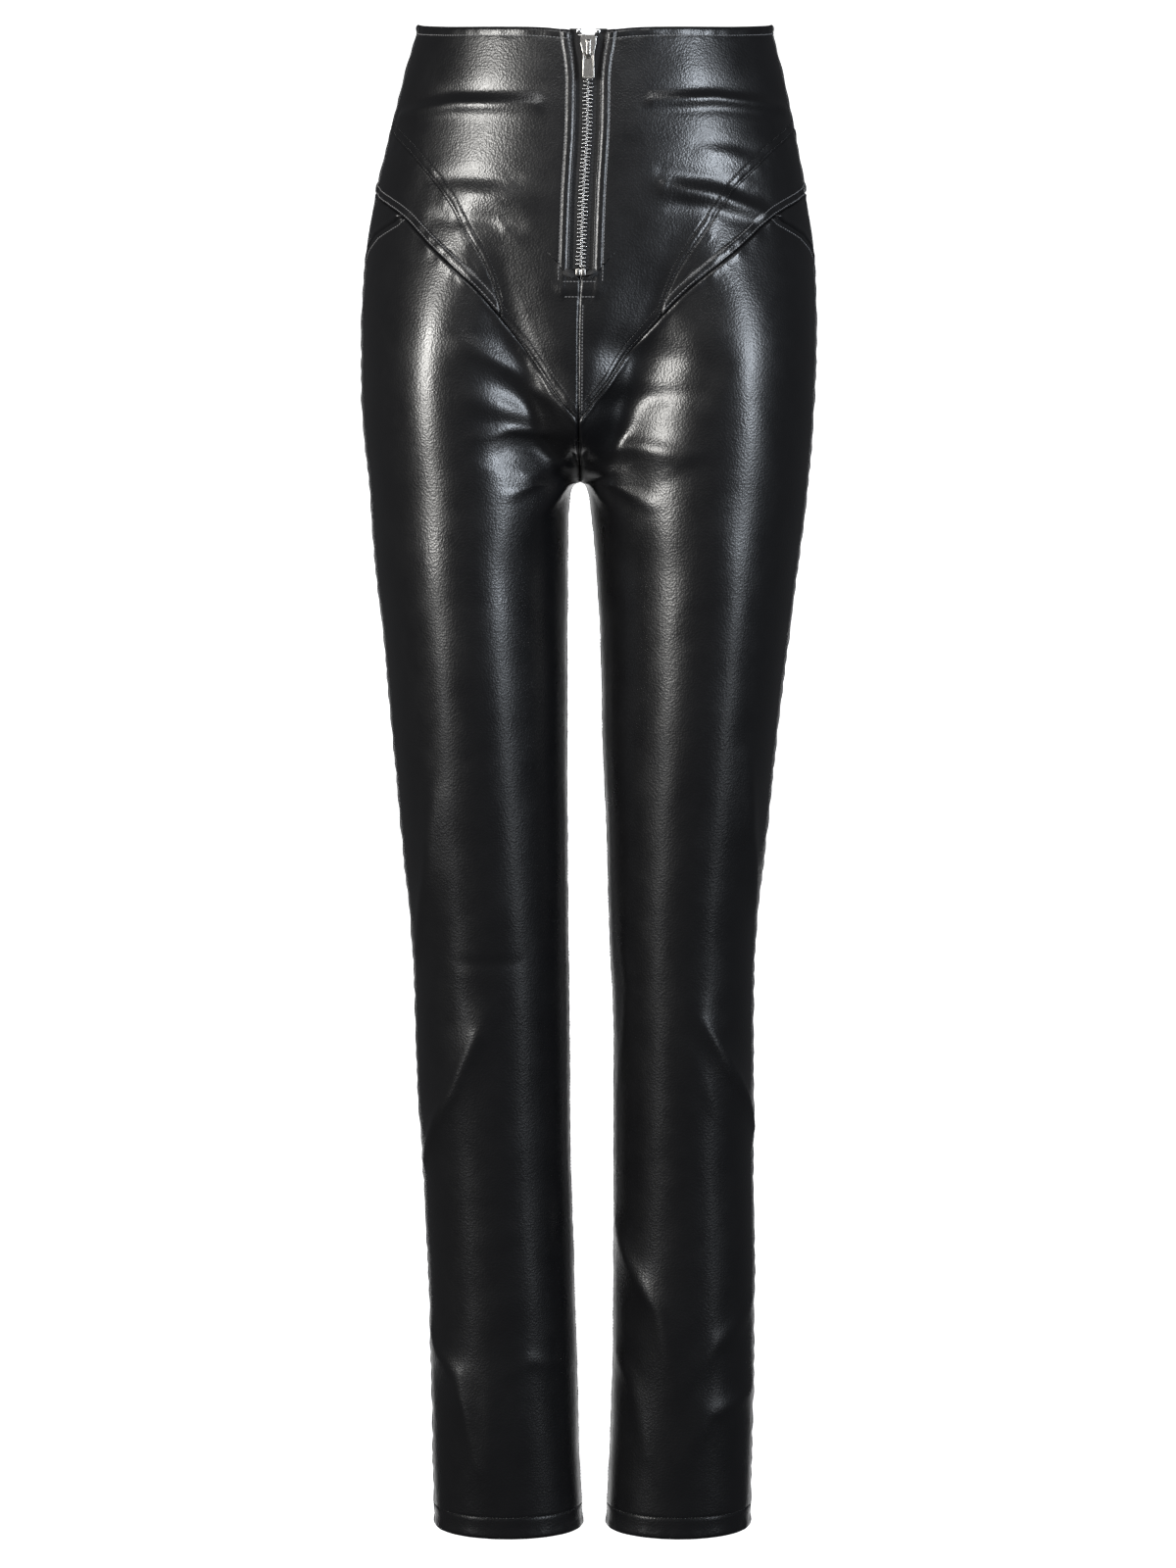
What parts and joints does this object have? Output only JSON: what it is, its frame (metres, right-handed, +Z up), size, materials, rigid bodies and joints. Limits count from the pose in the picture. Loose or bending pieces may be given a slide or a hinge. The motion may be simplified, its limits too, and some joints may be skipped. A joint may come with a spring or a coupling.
{
  "type": "leather trousers",
  "caption": "High-waisted slim leather trousers with a front zip, V-shaped front yoke seam and slanting double-stitched seams, in their worn shape.",
  "frame": {"origin": "middle of the waist opening, level with its top edge", "axes": "+Z up through the waist opening, -Y out of the front with the zip, +X to the right as seen from the front"},
  "size_m": [0.3093, 0.2268, 1.035],
  "materials": {
    "leather": "gloss",
    "zip_tape": "matt",
    "metal": "satin"
  },
  "bodies": {
    "garment": {"back_yoke_left": "leather", "back_yoke_right": "leather", "hip_panel_left": "leather", "hip_panel_right": "leather", "leg_back_left": "leather", "leg_back_right": "leather", "leg_front_left": "leather", "leg_front_right": "leather", "upper_front_left": "leather", "upper_front_right": "leather", "zip_bottom_stop": "metal", "zip_slider": "metal", "zip_tape_left": "zip_tape", "zip_tape_right": "zip_tape", "zip_teeth_left": "metal", "zip_teeth_right": "metal"},
    "pull_tab": {"pull_tab": "metal"}
  },
  "joints": [
    {"name": "pull_tab_swing", "type": "hinge", "parent": "garment", "child": "pull_tab", "pos_m": [0.00024, -0.09152, -0.01799], "axis": [-1, 0, 0], "range_deg": [0, 120]}
  ]
}
